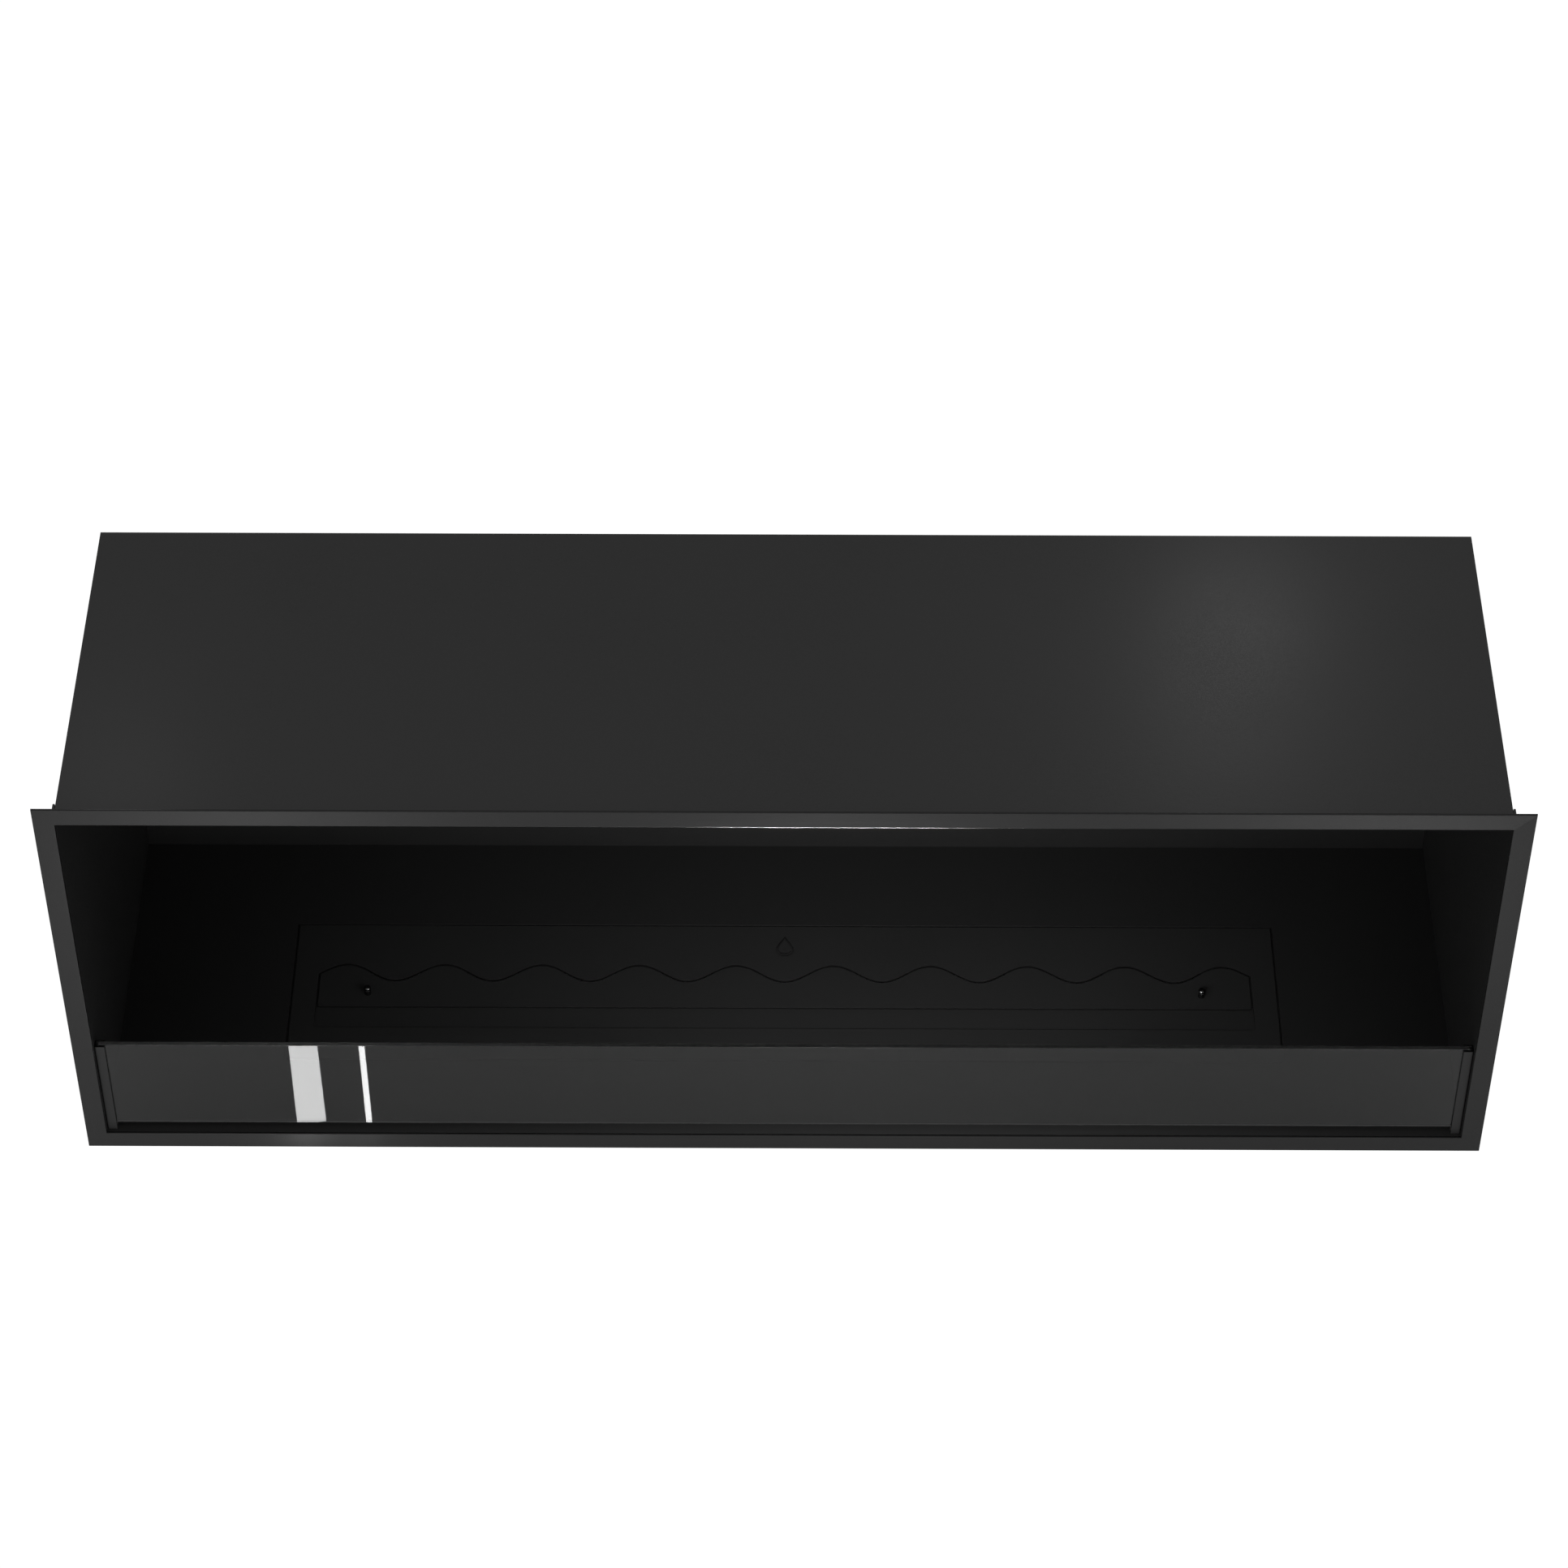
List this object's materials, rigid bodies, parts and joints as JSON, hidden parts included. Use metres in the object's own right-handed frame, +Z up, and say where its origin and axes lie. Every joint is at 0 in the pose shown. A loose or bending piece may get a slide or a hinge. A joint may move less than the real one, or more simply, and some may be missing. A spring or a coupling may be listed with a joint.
{
  "type": "built-in bioethanol fireplace",
  "caption": "Open-fronted black steel fireplace insert with a low glass screen and a flush liquid-fuel burner under a sliding wavy-edged lid.",
  "frame": {"origin": "middle of the width and depth, at the underside of the burner well", "axes": "+X to the right seen from the front, -Y out of the open front, +Z up"},
  "size_m": [1.232, 0.354, 0.473],
  "materials": {
    "casing_coat": "satin black heat-resistant powder coat on 2 mm steel",
    "frame_coat": "satin black powder coat, softly rounded edges",
    "burner_coat": "fine matt black heat-resistant coat",
    "peg_metal": "polished black-chromed steel with a bright chamfer",
    "screen_glass": "lightly smoked tempered glass, 4 mm, polished edges",
    "rest_rubber": "black silicone block",
    "tank_steel": "brushed stainless steel, heat tinted near the slot",
    "fibre_wool": "matt white ceramic fibre",
    "nut_zinc": "zinc-plated steel"
  },
  "bodies": {
    "casing": {"casing_floor": "casing_coat", "casing_top": "casing_coat", "casing_back": "casing_coat", "casing_left": "casing_coat", "casing_right": "casing_coat", "well_floor": "casing_coat", "well_front": "casing_coat", "well_back": "casing_coat", "well_left": "casing_coat", "well_right": "casing_coat", "well_rim": "casing_coat", "frame_top": "frame_coat", "frame_right": "frame_coat", "frame_bottom": "frame_coat", "frame_left": "frame_coat", "collar_left": "casing_coat", "glass_channel_left": "frame_coat", "glass_rest_left": "rest_rubber", "channel_rivet_left_lower": "casing_coat", "channel_rivet_left_upper": "casing_coat", "collar_right": "casing_coat", "glass_channel_right": "frame_coat", "glass_rest_right": "rest_rubber", "channel_rivet_right_lower": "casing_coat", "channel_rivet_right_upper": "casing_coat"},
    "glass": {"glass_pane": "screen_glass"},
    "burner": {"burner_deck": "burner_coat", "slide_bed": "burner_coat", "deck_nut_left_front": "nut_zinc", "deck_nut_left_back": "nut_zinc", "deck_nut_middle_front": "nut_zinc", "deck_nut_middle_back": "nut_zinc", "deck_nut_right_front": "nut_zinc", "deck_nut_right_back": "nut_zinc", "tank_floor": "tank_steel", "tank_front": "tank_steel", "tank_back": "tank_steel", "tank_left": "tank_steel", "tank_right": "tank_steel", "tank_rim": "tank_steel", "fibre_screen": "tank_steel", "fibre_pad_left": "fibre_wool", "fibre_pad_middle": "fibre_wool", "fibre_pad_right": "fibre_wool"},
    "lid": {"lid_plate": "burner_coat", "grip_peg_left": "peg_metal", "grip_peg_right": "peg_metal"}
  },
  "joints": [
    {"name": "lid_slide", "type": "slide", "parent": "burner", "child": "lid", "axis": [0, -1, 0], "range_m": [0, 0.0244]},
    {"name": "glass_lift", "type": "slide", "parent": "casing", "child": "glass", "axis": [0, 0, 1], "range_m": [0, 0.11]},
    {"name": "burner_lift", "type": "slide", "parent": "casing", "child": "burner", "axis": [0, 0, 1], "range_m": [0, 0.12]}
  ]
}
